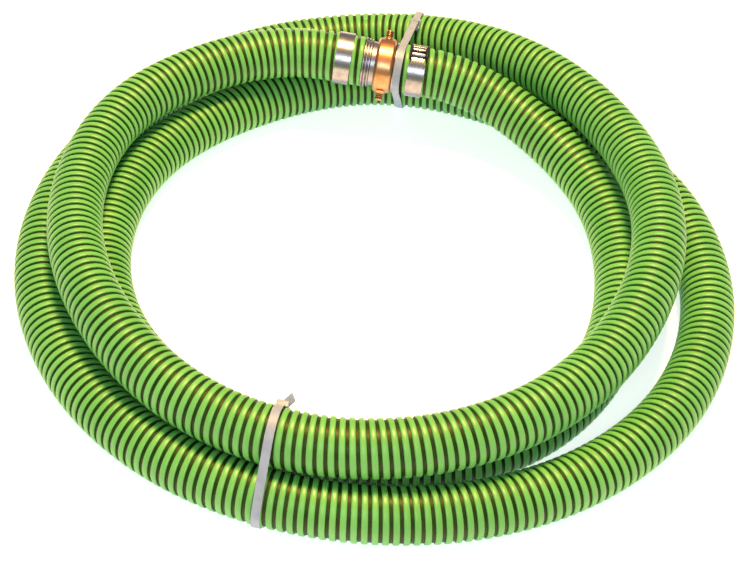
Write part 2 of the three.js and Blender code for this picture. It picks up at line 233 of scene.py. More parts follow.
def piece(name, points, faces, uv=None):
    """A mesh object at the origin, its faces turned outwards."""
    points = np.asarray(points, float).reshape(-1, 3)
    if faces_inwards(points, faces):
        faces = [tuple(reversed(face)) for face in faces]
        uv = None if uv is None else [list(reversed(corner)) for corner in uv]
    mesh = bpy.data.meshes.new(name)
    mesh.from_pydata(points.tolist(), [], faces)
    if uv is not None:
        layer = mesh.uv_layers.new(name="run")
        layer.data.foreach_set("uv", np.concatenate([np.ravel(c) for c in uv]).astype(np.float32))
    mesh.validate()
    # flat caps, so that lengths that meet end to end show no seam
    mesh.polygons.foreach_set("use_smooth", np.array([len(face) == 4 for face in faces]))
    mesh.update()
    return linked(name, mesh)


def grid(points, wrap_rows=False, caps=False, first=0):
    """Faces that join a grid of points [row, column] whose columns run round.

    Rows run round too where wrap_rows is set. Caps close the first and the last row.
    """
    rows, columns = points.shape[:2]
    number = np.arange(rows * columns).reshape(rows, columns) + first
    here = number if wrap_rows else number[:-1]
    there = np.roll(number, -1, 0) if wrap_rows else number[1:]
    quads = np.stack([here, np.roll(here, -1, 1), np.roll(there, -1, 1), there], -1).reshape(-1, 4)
    faces = [tuple(q) for q in quads.tolist()]
    if caps:
        faces += [tuple(number[0][::-1].tolist()), tuple(number[-1].tolist())]
    return faces


def shells(name, parts):
    """One object of several closed grids, each given as (points, wrap_rows, grime).

    The last entry is painted shade, a number from 0 to 1 for the whole grid or for each of its
    rows, 1 where shade is painted into a groove. The finishes read it as an attribute of the same
    name.
    """
    points, faces, painted_shades, first = [], [], [], 0
    for part, wrap_rows, painted_shade in parts:
        flat = part.reshape(-1, 3)
        inwards = faces_inwards(flat, grid(part, wrap_rows, not wrap_rows))
        own = grid(part, wrap_rows, not wrap_rows, first)
        faces += [tuple(reversed(face)) for face in own] if inwards else own
        points.append(flat)
        rows = np.broadcast_to(np.asarray(painted_shade, float), len(part))
        painted_shades.append(np.repeat(rows, part.shape[1]))
        first += len(flat)
    mesh = bpy.data.meshes.new(name)
    mesh.from_pydata(np.concatenate(points).tolist(), [], faces)
    layer = mesh.attributes.new("painted_shade", "FLOAT", "POINT")
    layer.data.foreach_set("value", np.concatenate(painted_shades).astype(np.float32))
    mesh.validate()
    mesh.polygons.foreach_set("use_smooth", np.ones(len(mesh.polygons), bool))
    mesh.update()
    return linked(name, mesh)


def softened(profile, radius, steps=4, margin=0.25 * MM):
    """A closed outline with each corner p rounded.

    The corner becomes the curve (1-t)^2 a + 2t(1-t) p + t^2 b between a point a before it
    and b after it. A point a little further out on each side keeps the flats flat.
    """
    p = np.asarray(profile, float)
    before, after = np.roll(p, 1, 0) - p, np.roll(p, -1, 0) - p
    far_b = np.linalg.norm(before, axis=1, keepdims=True)
    far_a = np.linalg.norm(after, axis=1, keepdims=True)
    cut_b, cut_a = np.minimum(radius, 0.4 * far_b), np.minimum(radius, 0.4 * far_a)
    a, b = p + before / far_b * cut_b, p + after / far_a * cut_a
    outer_a = p + before / far_b * np.minimum(cut_b + margin, 0.48 * far_b)
    outer_b = p + after / far_a * np.minimum(cut_a + margin, 0.48 * far_a)
    t = np.linspace(0, 1, steps)[None, :, None]
    curve = (1 - t) ** 2 * a[:, None] + 2 * t * (1 - t) * p[:, None] + t**2 * b[:, None]
    return np.concatenate([outer_a[:, None], curve, outer_b[:, None]], 1).reshape(-1, 2)


def in_joint(outward, place, down):
    """Points from distances outwards, along the joint's line and downwards."""
    return (JOINT_MIDDLE + np.multiply.outer(outward, JOINT_OUTWARD)
            + np.multiply.outer(place, JOINT_LINE) + np.multiply.outer(down, JOINT_DOWN))


def turned(profile, sides=96):
    """A closed outline of (radius, place) turned about the joint's line."""
    radius, place = np.asarray(profile, float).T
    angle = np.arange(sides) / sides * 2 * np.pi
    return in_joint(np.multiply.outer(np.cos(angle), radius),
                    np.broadcast_to(place, (sides, len(place))),
                    np.multiply.outer(np.sin(angle), radius))


def rounded_block(size, radius, rows=6, around=8):
    """A block with rounded edges, centred on the origin, as a grid of [row, column].

    Its sections across the first axis are rounded rectangles that shrink by
    radius (1 - sin) towards both ends.
    """
    turn = np.linspace(0, np.pi / 2, rows)
    first = np.concatenate([-size[0] / 2 + radius * (1 - np.cos(turn)),
                            (size[0] / 2 - radius * (1 - np.cos(turn)))[::-1]])
    inset = np.concatenate([radius * (1 - np.sin(turn)), (radius * (1 - np.sin(turn)))[::-1]])
    corner = np.linspace(0, np.pi / 2, around)
    angle = (corner[None] + np.arange(4)[:, None] * np.pi / 2).ravel()
    sign = np.repeat([[1, 1], [-1, 1], [-1, -1], [1, -1]], around, 0)
    second = sign[:, 0] * (size[1] / 2 - radius) + radius * np.cos(angle)
    third = sign[:, 1] * (size[2] / 2 - radius) + radius * np.sin(angle)
    shrink = inset[:, None]
    return np.stack([
        np.broadcast_to(first[:, None], (len(first), len(angle))),
        second[None] - shrink * np.cos(angle)[None],
        third[None] - shrink * np.sin(angle)[None]], -1)


# Materials

class Wire:
    """A socket that can be used in expressions: each operator adds its Math node."""

    def __init__(self, finish, socket):
        self.finish, self.socket = finish, socket

    def _math(self, operation, *values):
        node = self.finish.node("ShaderNodeMath", {"operation": operation}, dict(enumerate(values)))
        return node.out(0)

    def __add__(self, other): return self._math("ADD", self, other)
    def __radd__(self, other): return self._math("ADD", other, self)
    def __sub__(self, other): return self._math("SUBTRACT", self, other)
    def __rsub__(self, other): return self._math("SUBTRACT", other, self)
    def __mul__(self, other): return self._math("MULTIPLY", self, other)
    def __abs__(self): return self._math("ABSOLUTE", self)

    def band(self, low, high):
        """0 at low, 1 at high, smooth between them."""
        node = self.finish.node(
            "ShaderNodeMapRange", {"interpolation_type": "SMOOTHSTEP"},
            {"Value": self, "From Min": low, "From Max": high})
        return node.out(0)


class Made:
    """A node of a finish."""

    def __init__(self, finish, node):
        self.finish, self.own = finish, node

    def out(self, key=0):
        return Wire(self.finish, self.own.outputs[key])


class Finish:
    """A procedural material, its nodes added one method call at a time."""

    def __init__(self, name):
        self.material = bpy.data.materials.new(name)
        self.material.use_nodes = True
        self.tree = self.material.node_tree
        self.tree.nodes.clear()
        self.place = self.node("ShaderNodeTexCoord").out("Object")

    def node(self, kind, settings=None, values=None):
        """Adds a node of this kind, sets its settings, then its sockets' values or links."""
        node = self.tree.nodes.new(kind)
        for key, value in (settings or {}).items():
            setattr(node, key, value)
        for key, value in (values or {}).items():
            socket = node.inputs[key]
            if isinstance(value, Wire):
                self.tree.links.new(value.socket, socket)
            elif value is not None:
                if hasattr(value, "__len__") and len(value) == 3 and len(socket.default_value) == 4:
                    value = (*value, 1)
                socket.default_value = value
        return Made(self, node)

    def noise(self, scale, detail=3.0, vector=None, roughness=0.5):
        """Noise from 0 to 1 whose grains are about 1/scale metres across."""
        return self.node("ShaderNodeTexNoise", {}, {
            "Vector": vector or self.place, "Scale": scale, "Detail": detail,
            "Roughness": roughness}).out("Fac")

    def painted_shade(self):
        """How much shade is painted into a groove, from the piece's own attribute, broken up by
        noise.
        """
        laid = self.node("ShaderNodeAttribute", {"attribute_name": "painted_shade"}).out("Fac")
        return laid * (0.8 + self.noise(500.0, 3.0) * 0.2)

    def blend(self, share, first, second):
        """Colour first where share is 0, second where it is 1."""
        return self.node("ShaderNodeMix", {"data_type": "RGBA"}, {
            0: share, 6: first, 7: second}).out(2)

    def stretched(self, scale):
        """Object coordinates in the joint's own frame, with one scale for each axis."""
        turn = self.node("ShaderNodeMapping", {"vector_type": "TEXTURE"}, {
            "Vector": self.place, "Location": tuple(JOINT_MIDDLE),
            "Rotation": joint_euler()}).out(0)
        return self.node("ShaderNodeVectorMath", {"operation": "MULTIPLY"}, {
            0: turn, 1: scale}).out(0)

    def close(self, bump=None, strength=0.3, distance=0.2 * MM, **sockets):
        """Ends the finish in one Principled shader, with a Bump node where there is relief."""
        values = {key.replace("_", " "): value for key, value in sockets.items()}
        if bump is not None:
            values["Normal"] = self.node("ShaderNodeBump", {}, {
                "Strength": strength, "Distance": distance, "Height": bump}).out(0)
        shader = self.node("ShaderNodeBsdfPrincipled", {}, values).out(0)
        self.node("ShaderNodeOutputMaterial", {}, {"Surface": shader})
        return self.material


def joint_euler():
    """The turn of the joint's frame: its X outwards, Y along the line, Z downwards."""
    from mathutils import Matrix
    basis = np.stack([JOINT_OUTWARD, JOINT_LINE, JOINT_DOWN], 1)
    return tuple(Matrix(basis.tolist()).to_euler())


def rib_finish(options):
    """Hard green plastic: flow streaks along the rib, scuffs on its crown, painted shade at its
    foot.
    """
    f = Finish("green_rib_plastic")
    run = f.node("ShaderNodeUVMap", {"uv_map": "run"}).out(0)
    across = f.node("ShaderNodeSeparateXYZ", {}, {0: run}).out(1)
    crown = 1 - abs(across - 0.5) * 2
    streak = f.noise(1.0, 2.0, f.node("ShaderNodeVectorMath", {"operation": "MULTIPLY"}, {
        0: run, 1: (6.0, 34.0, 1.0)}).out(0))
    cloud, grain = f.noise(14.0, 2.0), f.noise(1400.0, 2.0)
    colour = f.blend(cloud.band(0.35, 0.65), options.rib_colour, options.rib_shade)
    colour = f.blend(streak.band(0.45, 0.8) * 0.35, colour, options.rib_light)
    # painted shade: the green darkens towards the rib's foot, where the rib meets the wall
    colour = f.blend((1 - crown.band(0.12, 0.42)) * 0.75, colour, options.rib_foot_shade)
    scuff = f.noise(160.0, 5.0, None, 0.7).band(0.60, 0.74) * crown.band(0.6, 0.95)
    colour = f.blend(scuff * 0.22, colour, options.rib_light)
    return f.close(
        grain * 0.25 + streak * 0.75, 0.25, 0.12 * MM, Base_Color=colour,
        Roughness=0.33 + streak * 0.12 + scuff * 0.2, Specular_IOR_Level=0.45)


def wall_finish(options):
    """The dark flexible wall: satin and faintly green, with fine dust."""
    f = Finish("dark_hose_wall")
    dust, grain = f.noise(90.0, 4.0), f.noise(1100.0, 2.0)
    colour = f.blend(dust.band(0.4, 0.75), options.wall_colour, options.wall_dust)
    return f.close(
        grain, 0.3, 0.1 * MM, Base_Color=colour,
        Roughness=0.42 + dust.band(0.35, 0.8) * 0.2, Specular_IOR_Level=0.3,
        Specular_Tint=(0.85, 0.95, 0.45, 1.0))


def aluminium_finish(options):
    """Machined aluminium: fine rings from the lathe, a dull film and small nicks."""
    f = Finish("machined_aluminium")
    rings = f.noise(1.0, 3.0, f.stretched((6.0, 5200.0, 6.0)))
    film, nick = f.noise(70.0, 3.0), f.noise(420.0, 4.0).band(0.66, 0.74)
    colour = f.blend(film.band(0.35, 0.7), options.metal_colour, options.metal_film)
    return f.close(
        rings + nick * 0.8, 0.3, 0.05 * MM, Base_Color=colour, Metallic=1.0,
        Roughness=0.24 + rings * 0.14 + film.band(0.4, 0.8) * 0.12)


def brass_finish(options):
    """Turned brass: rings round the nut, stains, worn patches, and painted shade in the grooves."""
    f = Finish("turned_brass")
    rings = f.noise(1.0, 3.0, f.stretched((8.0, 3600.0, 8.0)))
    stain, cast = f.noise(60.0, 4.0), f.noise(600.0, 3.0)
    colour = f.blend(stain.band(0.35, 0.68), options.brass_colour, options.brass_stain)
    colour = f.blend(f.noise(230.0, 3.0).band(0.58, 0.75) * 0.5, colour, options.brass_light)
    # painted shade: the brass darkens in the pins' grooves
    colour = f.blend(f.painted_shade(), colour, options.brass_groove_shade)
    return f.close(
        rings * 0.6 + cast * 0.5, 0.35, 0.06 * MM, Base_Color=colour, Metallic=1.0,
        Roughness=0.26 + stain.band(0.3, 0.8) * 0.16)


def steel_finish(options):
    """Band steel brushed along its length, smudged, with painted shade in the buckle."""
    f = Finish("brushed_band_steel")
    brushed = f.noise(1.0, 4.0, f.stretched((26.0, 4200.0, 26.0)))
    smudge = f.noise(85.0, 3.0)
    colour = f.blend(smudge.band(0.35, 0.75), options.steel_colour, options.steel_film)
    # painted shade: the steel darkens under the buckle's bars and beside its cheeks
    colour = f.blend(f.painted_shade(), colour, options.steel_buckle_shade)
    return f.close(
        brushed, 0.28, 0.04 * MM, Base_Color=colour, Metallic=1.0,
        Roughness=0.2 + brushed * 0.12 + smudge.band(0.4, 0.8) * 0.1)


def nylon_finish(options):
    """Natural nylon: milky, with cloudy patches and a soft moulded skin."""
    f = Finish("natural_nylon")
    cloud, grain = f.noise(120.0, 3.0), f.noise(1800.0, 2.0)
    colour = f.blend(cloud.band(0.3, 0.75), options.tie_colour, options.tie_shade)
    return f.close(
        grain, 0.2, 0.06 * MM, Base_Color=colour, Roughness=0.34 + cloud * 0.18,
        Subsurface_Weight=0.35, Subsurface_Radius=(0.004, 0.004, 0.004), Subsurface_Scale=1.0,
        Specular_IOR_Level=0.5)


def floor_finish(options):
    """Pale matt board with the faintest unevenness and a light of its own."""
    f = Finish("pale_floor")
    cloud = f.noise(3.0, 3.0)
    base = np.array(options.floor_colour)
    colour = f.blend(cloud.band(0.3, 0.7), tuple(base), tuple(base * 0.985))
    return f.close(None, Base_Color=colour, Roughness=0.62 + cloud * 0.1,
                   Specular_IOR_Level=0.2, Emission_Color=(0.88, 0.90, 0.94, 1.0),
                   Emission_Strength=options.glow)


def dress(made, material, body="coil", stands_for=()):
    """Gives a piece its finish, its body and the CAD node that it stands for."""
    made.data.materials.clear()
    made.data.materials.append(material)
    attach(made, body)
    if stands_for:
        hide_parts(*stands_for)
    return made


# Settings

def colour_setting(name, description, default):
    return FloatVectorProperty(name=name, description=description, default=default,
                               subtype="COLOR", size=3, min=0, max=1)


def length_setting(name, description, default):
    return FloatProperty(name=name, description=description, default=default,
                         unit="LENGTH", subtype="DISTANCE", min=0)


class HoseSettings(bpy.types.PropertyGroup):
    """Sizes and colours of the hose."""
    rib_pitch: length_setting("Rib pitch", "Along the hose from one turn of the rib to the next",
                              9.72 * MM)
    rib_width: length_setting("Rib width", "Along the hose, at the rib's foot", 6.3 * MM)
    wall_radius: length_setting("Wall radius", "From the hose's middle to the dark wall",
                                27.8 * MM)
    rib_round: FloatProperty(name="Rib roundness", default=3.3, min=1.5, max=6,
                             description="Power of the rib's rounded outline")
    rib_sides: IntProperty(name="Rib sides", default=32, min=12, max=64,
                           description="Sections of the rib in one turn")
    rib_colour: colour_setting("Rib", "Main green", (0.145, 0.47, 0.10))
    rib_shade: colour_setting("Rib, deeper", "Deeper green of the cloudy patches",
                              (0.12, 0.42, 0.085))
    rib_light: colour_setting("Rib, scuffed", "Pale green of streaks and scuffs",
                              (0.26, 0.60, 0.18))
    # painted shade at the rib's foot
    rib_foot_shade: colour_setting("Rib foot", "Green in the shade of the rib's foot",
                             (0.035, 0.17, 0.02))
    wall_colour: colour_setting("Wall", "Dark flexible wall", (0.008, 0.030, 0.004))
    wall_dust: colour_setting("Wall, dusty", "The wall where dust lies", (0.018, 0.042, 0.008))


class CouplingSettings(bpy.types.PropertyGroup):
    """Sizes and colours of the coupling and its nut."""
    edge: length_setting("Edge", "Roundness of the turned edges", 0.45 * MM)
    groove: length_setting("Pin groove", "Depth of the grooves round the pins", 0.55 * MM)
    metal_colour: colour_setting("Aluminium", "Bright aluminium", (0.40, 0.38, 0.42))
    metal_film: colour_setting("Aluminium, dull", "Where a dull film lies", (0.30, 0.275, 0.30))
    brass_colour: colour_setting("Brass", "Clean brass", (0.70, 0.36, 0.17))
    brass_stain: colour_setting("Brass, stained", "Darker, redder stain", (0.58, 0.26, 0.12))
    brass_light: colour_setting("Brass, worn", "Brighter worn brass", (0.80, 0.50, 0.28))
    # painted shade in the pins' grooves
    brass_groove_shade: colour_setting("Brass, grimy", "Dirt in the pins' grooves", (0.10, 0.06, 0.035))


class ClampSettings(bpy.types.PropertyGroup):
    """Sizes and colours of the two band clamps."""
    left_width: length_setting("Left width", "Width of the left band", 19 * MM)
    right_width: length_setting("Right width", "Width of the right band", 20 * MM)
    neck_width: length_setting("Neck width", "Width of the band by its buckle", 15 * MM)
    steel_colour: colour_setting("Steel", "Bright band steel", (0.38, 0.37, 0.39))
    steel_film: colour_setting("Steel, dull", "Where the band is smudged", (0.30, 0.275, 0.28))
    # painted shade in the buckle
    steel_buckle_shade: colour_setting("Steel, grimy", "Dirt in the buckle", (0.09, 0.065, 0.055))


class TieSettings(bpy.types.PropertyGroup):
    """Tooth and colours of the two cable ties."""
    tooth: length_setting("Tooth", "From one tooth of the strap to the next", 1.6 * MM)
    tie_colour: colour_setting("Nylon", "Natural nylon", (0.32, 0.39, 0.51))
    tie_shade: colour_setting("Nylon, cloudy", "Cloudier nylon", (0.27, 0.33, 0.44))


class StageSettings(bpy.types.PropertyGroup):
    """The floor and the light."""
    floor_colour: colour_setting("Floor", "Pale floor", (0.86, 0.86, 0.85))
    glow: FloatProperty(name="Floor glow", default=0.75, min=0,
                        description="Light of the floor's own, as from a lit table")
    overhead: FloatProperty(name="Overhead light", default=370.0, min=0, unit="POWER",
                            description="Warm light above the back of the coil")
    front: FloatProperty(name="Front light", default=17.0, min=0, unit="POWER",
                         description="Cool light beside the camera")
    sky: FloatProperty(name="Room light", default=0.32, min=0,
                       description="Even light from all round")


# Pieces

class HoseOperator:
    """What the operators share."""
    bl_options = {"REGISTER", "UNDO"}


class SUCTION_HOSE_OT_camera(HoseOperator, bpy.types.Operator):
    """Camera above the front of the coil"""
    bl_idname = "suction_hose.camera"
    bl_label = "Camera"

    def execute(self, context):
        from mathutils import Matrix
        look = np.array([0, math.cos(CAMERA_RISE), -math.sin(CAMERA_RISE)])
        level = np.array([1.0, 0, 0])
        upright = np.cross(level, look)
        c, s = math.cos(CAMERA_ROLL), math.sin(CAMERA_ROLL)
        right, top = c * level + s * upright, c * upright - s * level
        eye = CAMERA_TARGET - look * CAMERA_DISTANCE
        data = bpy.data.cameras.new("camera")
        data.sensor_width = SENSOR_WIDTH
        data.lens = CAMERA_LENS
        data.clip_start, data.clip_end = 0.05, 50
        camera = linked("camera", data)
        matrix = np.eye(4)
        matrix[:3, :3] = np.stack([right, top, -look], 1)
        matrix[:3, 3] = eye
        camera.matrix_world = Matrix(matrix.tolist())
        context.scene.camera = camera
        return {"FINISHED"}


class SUCTION_HOSE_OT_wall(HoseOperator, bpy.types.Operator):
    """Dark flexible wall of the hose, a tube along its whole length"""
    bl_idname = "suction_hose.wall"
    bl_label = "Hose wall"

    def execute(self, context):
        options = context.scene.suction_hose
        along = np.linspace(0, HOSE.length, WALL_SECTIONS)
        point, sideways, upwards = HOSE.at(along)
        angle = np.arange(WALL_SIDES) / WALL_SIDES * 2 * np.pi
        ring = (np.cos(angle)[None, :, None] * sideways[:, None]
                + np.sin(angle)[None, :, None] * upwards[:, None])
        outside = point[:, None] + options.wall_radius * ring
        bore = point[::-1, None] + HOSE_BORE / 2 * ring[::-1]
        tube = np.concatenate([outside, bore])
        faces = grid(tube, wrap_rows=True)
        wall = piece("hose_wall", tube, faces)
        dress(wall, wall_finish(options), stands_for=["hose"])
        return {"FINISHED"}


class SUCTION_HOSE_OT_ribs(HoseOperator, bpy.types.Operator):
    """Green rib that winds round the hose, in lengths that meet end to end"""
    bl_idname = "suction_hose.ribs"
    bl_label = "Ribs"

    def execute(self, context):
        options = context.scene.suction_hose
        finish = rib_finish(options)
        end = -options.rib_width / 2
        turns = (HOSE.length - 2 * end) / options.rib_pitch
        for k in range(RIB_LENGTHS):
            first, last = turns * k / RIB_LENGTHS, turns * (k + 1) / RIB_LENGTHS
            steps = int(round((last - first) * options.rib_sides))
            turn = np.linspace(first, last, steps + 1)
            middle = end + turn * options.rib_pitch
            # the outline over the rib: width cos(q), height sin(q), both to the power 2/n
            q = np.linspace(0, np.pi, RIB_OUTLINE)
            power = 2 / options.rib_round
            offset = -np.sign(np.cos(q)) * np.abs(np.cos(q)) ** power * options.rib_width / 2
            height = np.sin(q) ** power * (HOSE_OUTSIDE / 2 - options.wall_radius)
            offset = np.append(offset, 0)
            radius = np.append(options.wall_radius + height, options.wall_radius - 0.5 * MM)
            # both ends of the hose are cut square, through the rib
            run = np.clip(middle[:, None] + offset[None], 0, HOSE.length)
            point, sideways, upwards = HOSE.at(run)
            angle = (turn * 2 * np.pi)[:, None, None]
            strip = point + radius[None, :, None] * (
                np.cos(angle) * sideways + np.sin(angle) * upwards)
            faces = grid(strip, caps=True)
            columns = len(radius)
            across = np.arange(columns + 1) / (columns - 1)
            u = np.broadcast_to(turn[:, None], (steps + 1, columns))
            c = np.arange(columns)
            uv = np.empty((steps, columns, 4, 2))
            uv[..., 0, 0], uv[..., 1, 0] = u[:-1], u[:-1]
            uv[..., 2, 0], uv[..., 3, 0] = u[1:], u[1:]
            uv[..., 0, 1], uv[..., 3, 1] = across[c], across[c]
            uv[..., 1, 1], uv[..., 2, 1] = across[c + 1], across[c + 1]
            corners = list(uv.reshape(-1, 4, 2)) + [np.zeros((columns, 2))] * 2
            rib = piece(f"green_rib_{k + 1}", strip, faces, [list(x) for x in corners])
            dress(rib, finish)
        return {"FINISHED"}


class SUCTION_HOSE_OT_couplings(HoseOperator, bpy.types.Operator):
    """Turned male coupling and female shank"""
    bl_idname = "suction_hose.couplings"
    bl_label = "Coupling halves"

    def execute(self, context):
        options = context.scene.suction_coupling
        finish = aluminium_finish(options)

        def barbs(start, step):
            """Four shallow saw teeth that hold the hose."""
            places = start + step * np.arange(4)[:, None] + step * np.array([0, 0.85])[None]
            radii = np.broadcast_to([SHANK - BARB_DEPTH, SHANK], (4, 2))
            return np.stack([radii.ravel(), places.ravel()], 1).tolist()

        shank_end = LEFT_HOSE_END - SHANK_LENGTH
        face = LEFT_HOSE_END + TOUCH
        collar = (COLLAR * MM + [0, face]).tolist()
        start = NUT_LEFT + TOUCH
        root = THREAD - THREAD_DEPTH
        place = start + THREAD_RUN_IN + THREAD_PITCH * np.arange(6)[:, None] + [0, THREAD_FLAT]
        threads = np.stack([np.broadcast_to([root, THREAD], place.shape), place], -1)
        threads = threads[place < THREAD_END].tolist()
        male = [[COUPLING_BORE, shank_end], *barbs(shank_end, BARB_STEP)]
        male += [[SHANK, face], *collar, [NECK, start - 2 * TOUCH]]
        male += [*threads, [root, THREAD_END], [COUPLING_BORE, THREAD_END]]
        made = shells("male_coupling_turned", [(turned(softened(male, options.edge)), True, 0)])
        dress(made, finish, stands_for=["male_coupling"])

        shank_end = RIGHT_HOSE_END + SHANK_LENGTH
        collar_left, collar_right = NUT_RIGHT + TOUCH, RIGHT_HOSE_END - TOUCH
        flange = SEAT_FACE + FLANGE
        female = [
            [COUPLING_BORE, SEAT_FACE], [THREAD, SEAT_FACE], [THREAD, flange],
            [FEMALE_NECK, flange], [FEMALE_NECK, collar_left], [29.4 * MM, collar_left],
            [FEMALE_COLLAR, collar_left + 0.8 * MM], [FEMALE_COLLAR, collar_right],
            [SHANK, collar_right], *barbs(shank_end, -BARB_STEP)[::-1],
            [COUPLING_BORE, shank_end],
        ]
        made = shells("female_shank_turned", [(turned(softened(female, options.edge)), True, 0)])
        dress(made, finish, stands_for=["female_shank"])
        return {"FINISHED"}


class SUCTION_HOSE_OT_nut(HoseOperator, bpy.types.Operator):
    """Brass swivel nut with its two grooved pins"""
    bl_idname = "suction_hose.nut"
    bl_label = "Swivel nut"

    def execute(self, context):
        options = context.scene.suction_coupling
        bore = THREAD + TOUCH
        body = [
            [NUT_LIP, NUT_RIGHT], [NUT_LIP, LIP_FACE], [bore, LIP_FACE], [bore, NUT_LEFT],
            [NUT_OUTER - NUT_CHAMFER_IN, NUT_LEFT], [NUT_OUTER, NUT_LEFT + NUT_CHAMFER_ALONG],
            [NUT_OUTER, NUT_RIGHT - NUT_CHAMFER_ALONG], [NUT_OUTER - NUT_CHAMFER_IN, NUT_RIGHT],
        ]
        parts = [(turned(softened(body, 0.8 * MM)), True, 0)]
        # the third column is painted shade, 1 in the pins' grooves
        reach, painted_shade = PIN_PROFILE[:, 0] * MM, PIN_PROFILE[:, 2]
        radius = PIN_RADIUS + PIN_PROFILE[:, 1] * np.where(painted_shade == 1, options.groove, MM)
        angle = np.arange(40) / 40 * 2 * np.pi
        for side in (0, math.pi):
            lean = PIN_ANGLE + side
            out = math.cos(lean) * JOINT_OUTWARD - math.sin(lean) * JOINT_DOWN
            across = np.cross(JOINT_LINE, out)
            ring = (np.cos(angle)[None, :, None] * JOINT_LINE
                    + np.sin(angle)[None, :, None] * across)
            pin = JOINT_MIDDLE + reach[:, None, None] * out + radius[:, None, None] * ring
            parts.append((pin, False, painted_shade))
        nut = shells("brass_nut", parts)
        dress(nut, brass_finish(options), "nut", ["swivel_nut"])
        return {"FINISHED"}


class SUCTION_HOSE_OT_clamps(HoseOperator, bpy.types.Operator):
    """Steel band clamps with their buckles"""
    bl_idname = "suction_hose.clamps"
    bl_label = "Band clamps"

    def execute(self, context):
        options = context.scene.suction_clamp
        finish = steel_finish(options)
        outer = BAND_INNER + BAND_THICKNESS

        def round_hose(local, place, buckle):
            """Bends points (across, along, height) round the hose from the buckle's place."""
            across, along, height = np.moveaxis(local, -1, 0)
            angle = buckle + along / outer
            radius = outer + height
            return (JOINT_MIDDLE + (radius * np.cos(angle))[..., None] * JOINT_OUTWARD
                    - (radius * np.sin(angle))[..., None] * JOINT_DOWN
                    + (place + across)[..., None] * JOINT_LINE)

        def band(width, place, buckle):
            """The band: half its width follows the way round, narrow beside the buckle."""
            way = np.concatenate([np.arange(-100, -20, 2.0), np.arange(-20, 30, 0.5),
                                  np.arange(30, 100, 2.0)]) / 100
            way = np.unique(np.round(np.append(way, np.linspace(-1, 1, 120, False)), 4))
            way = way[way < 1] * math.pi * outer
            neck = options.neck_width / 2
            full = width / 2
            half = np.interp(way, BAND_KNOTS, [full, full, neck, neck, neck * 1.12, full + 0.5 * MM,
                                               full + 0.7 * MM, full, full])
            section = softened([[-1, -BAND_THICKNESS], [1, -BAND_THICKNESS], [1, 0], [-1, 0]],
                               0.25 * MM, 4, 0.1 * MM)
            edge = np.clip(section[:, 0], -1, 1)
            local = np.stack([half[:, None] * edge[None],
                              np.broadcast_to(way[:, None], (len(way), len(edge))),
                              np.broadcast_to(section[:, 1], (len(way), len(edge)))], -1)
            return round_hose(local, place, buckle)

        def bar(width, along, length, height, low):
            """A bar across the band with a rounded back, its way and sizes in millimetres."""
            along, length, height, low = np.array([along, length, height, low]) * MM
            block = rounded_block((width, length, height), min(length, height) * 0.42)
            return block + [0, along, low + height / 2]

        for name, width, place, buckle in (
                ("left", options.left_width, LEFT_BAND, LEFT_BUCKLE),
                ("right", options.right_width, RIGHT_BAND, RIGHT_BUCKLE)):
            plate = rounded_block((width + 0.8 * MM, BUCKLE_PLATE, 1 * MM), 0.4 * MM)
            # the plate under the buckle's bars carries full painted shade
            blocks = [(plate + [0, 0, 0.45 * MM], 1)]
            blocks += [(bar(width - 2.6 * MM, *sizes), painted_shade) for *sizes, painted_shade in BUCKLE_BARS]
            *sizes, painted_shade = BUCKLE_CHEEK
            cheek = bar(1.1 * MM, *sizes)
            aside = np.array([width / 2 + 0.1 * MM, 0, 0])
            blocks += [(cheek + aside, painted_shade), (cheek - aside, painted_shade)]
            parts = [(band(width, place, buckle), True, 0)]
            parts += [(round_hose(block, place, buckle), False, painted_shade)
                      for block, painted_shade in blocks]
            clamp = shells(f"{name}_clamp", parts)
            dress(clamp, finish, stands_for=[f"{name}_band_clamp"])
        return {"FINISHED"}


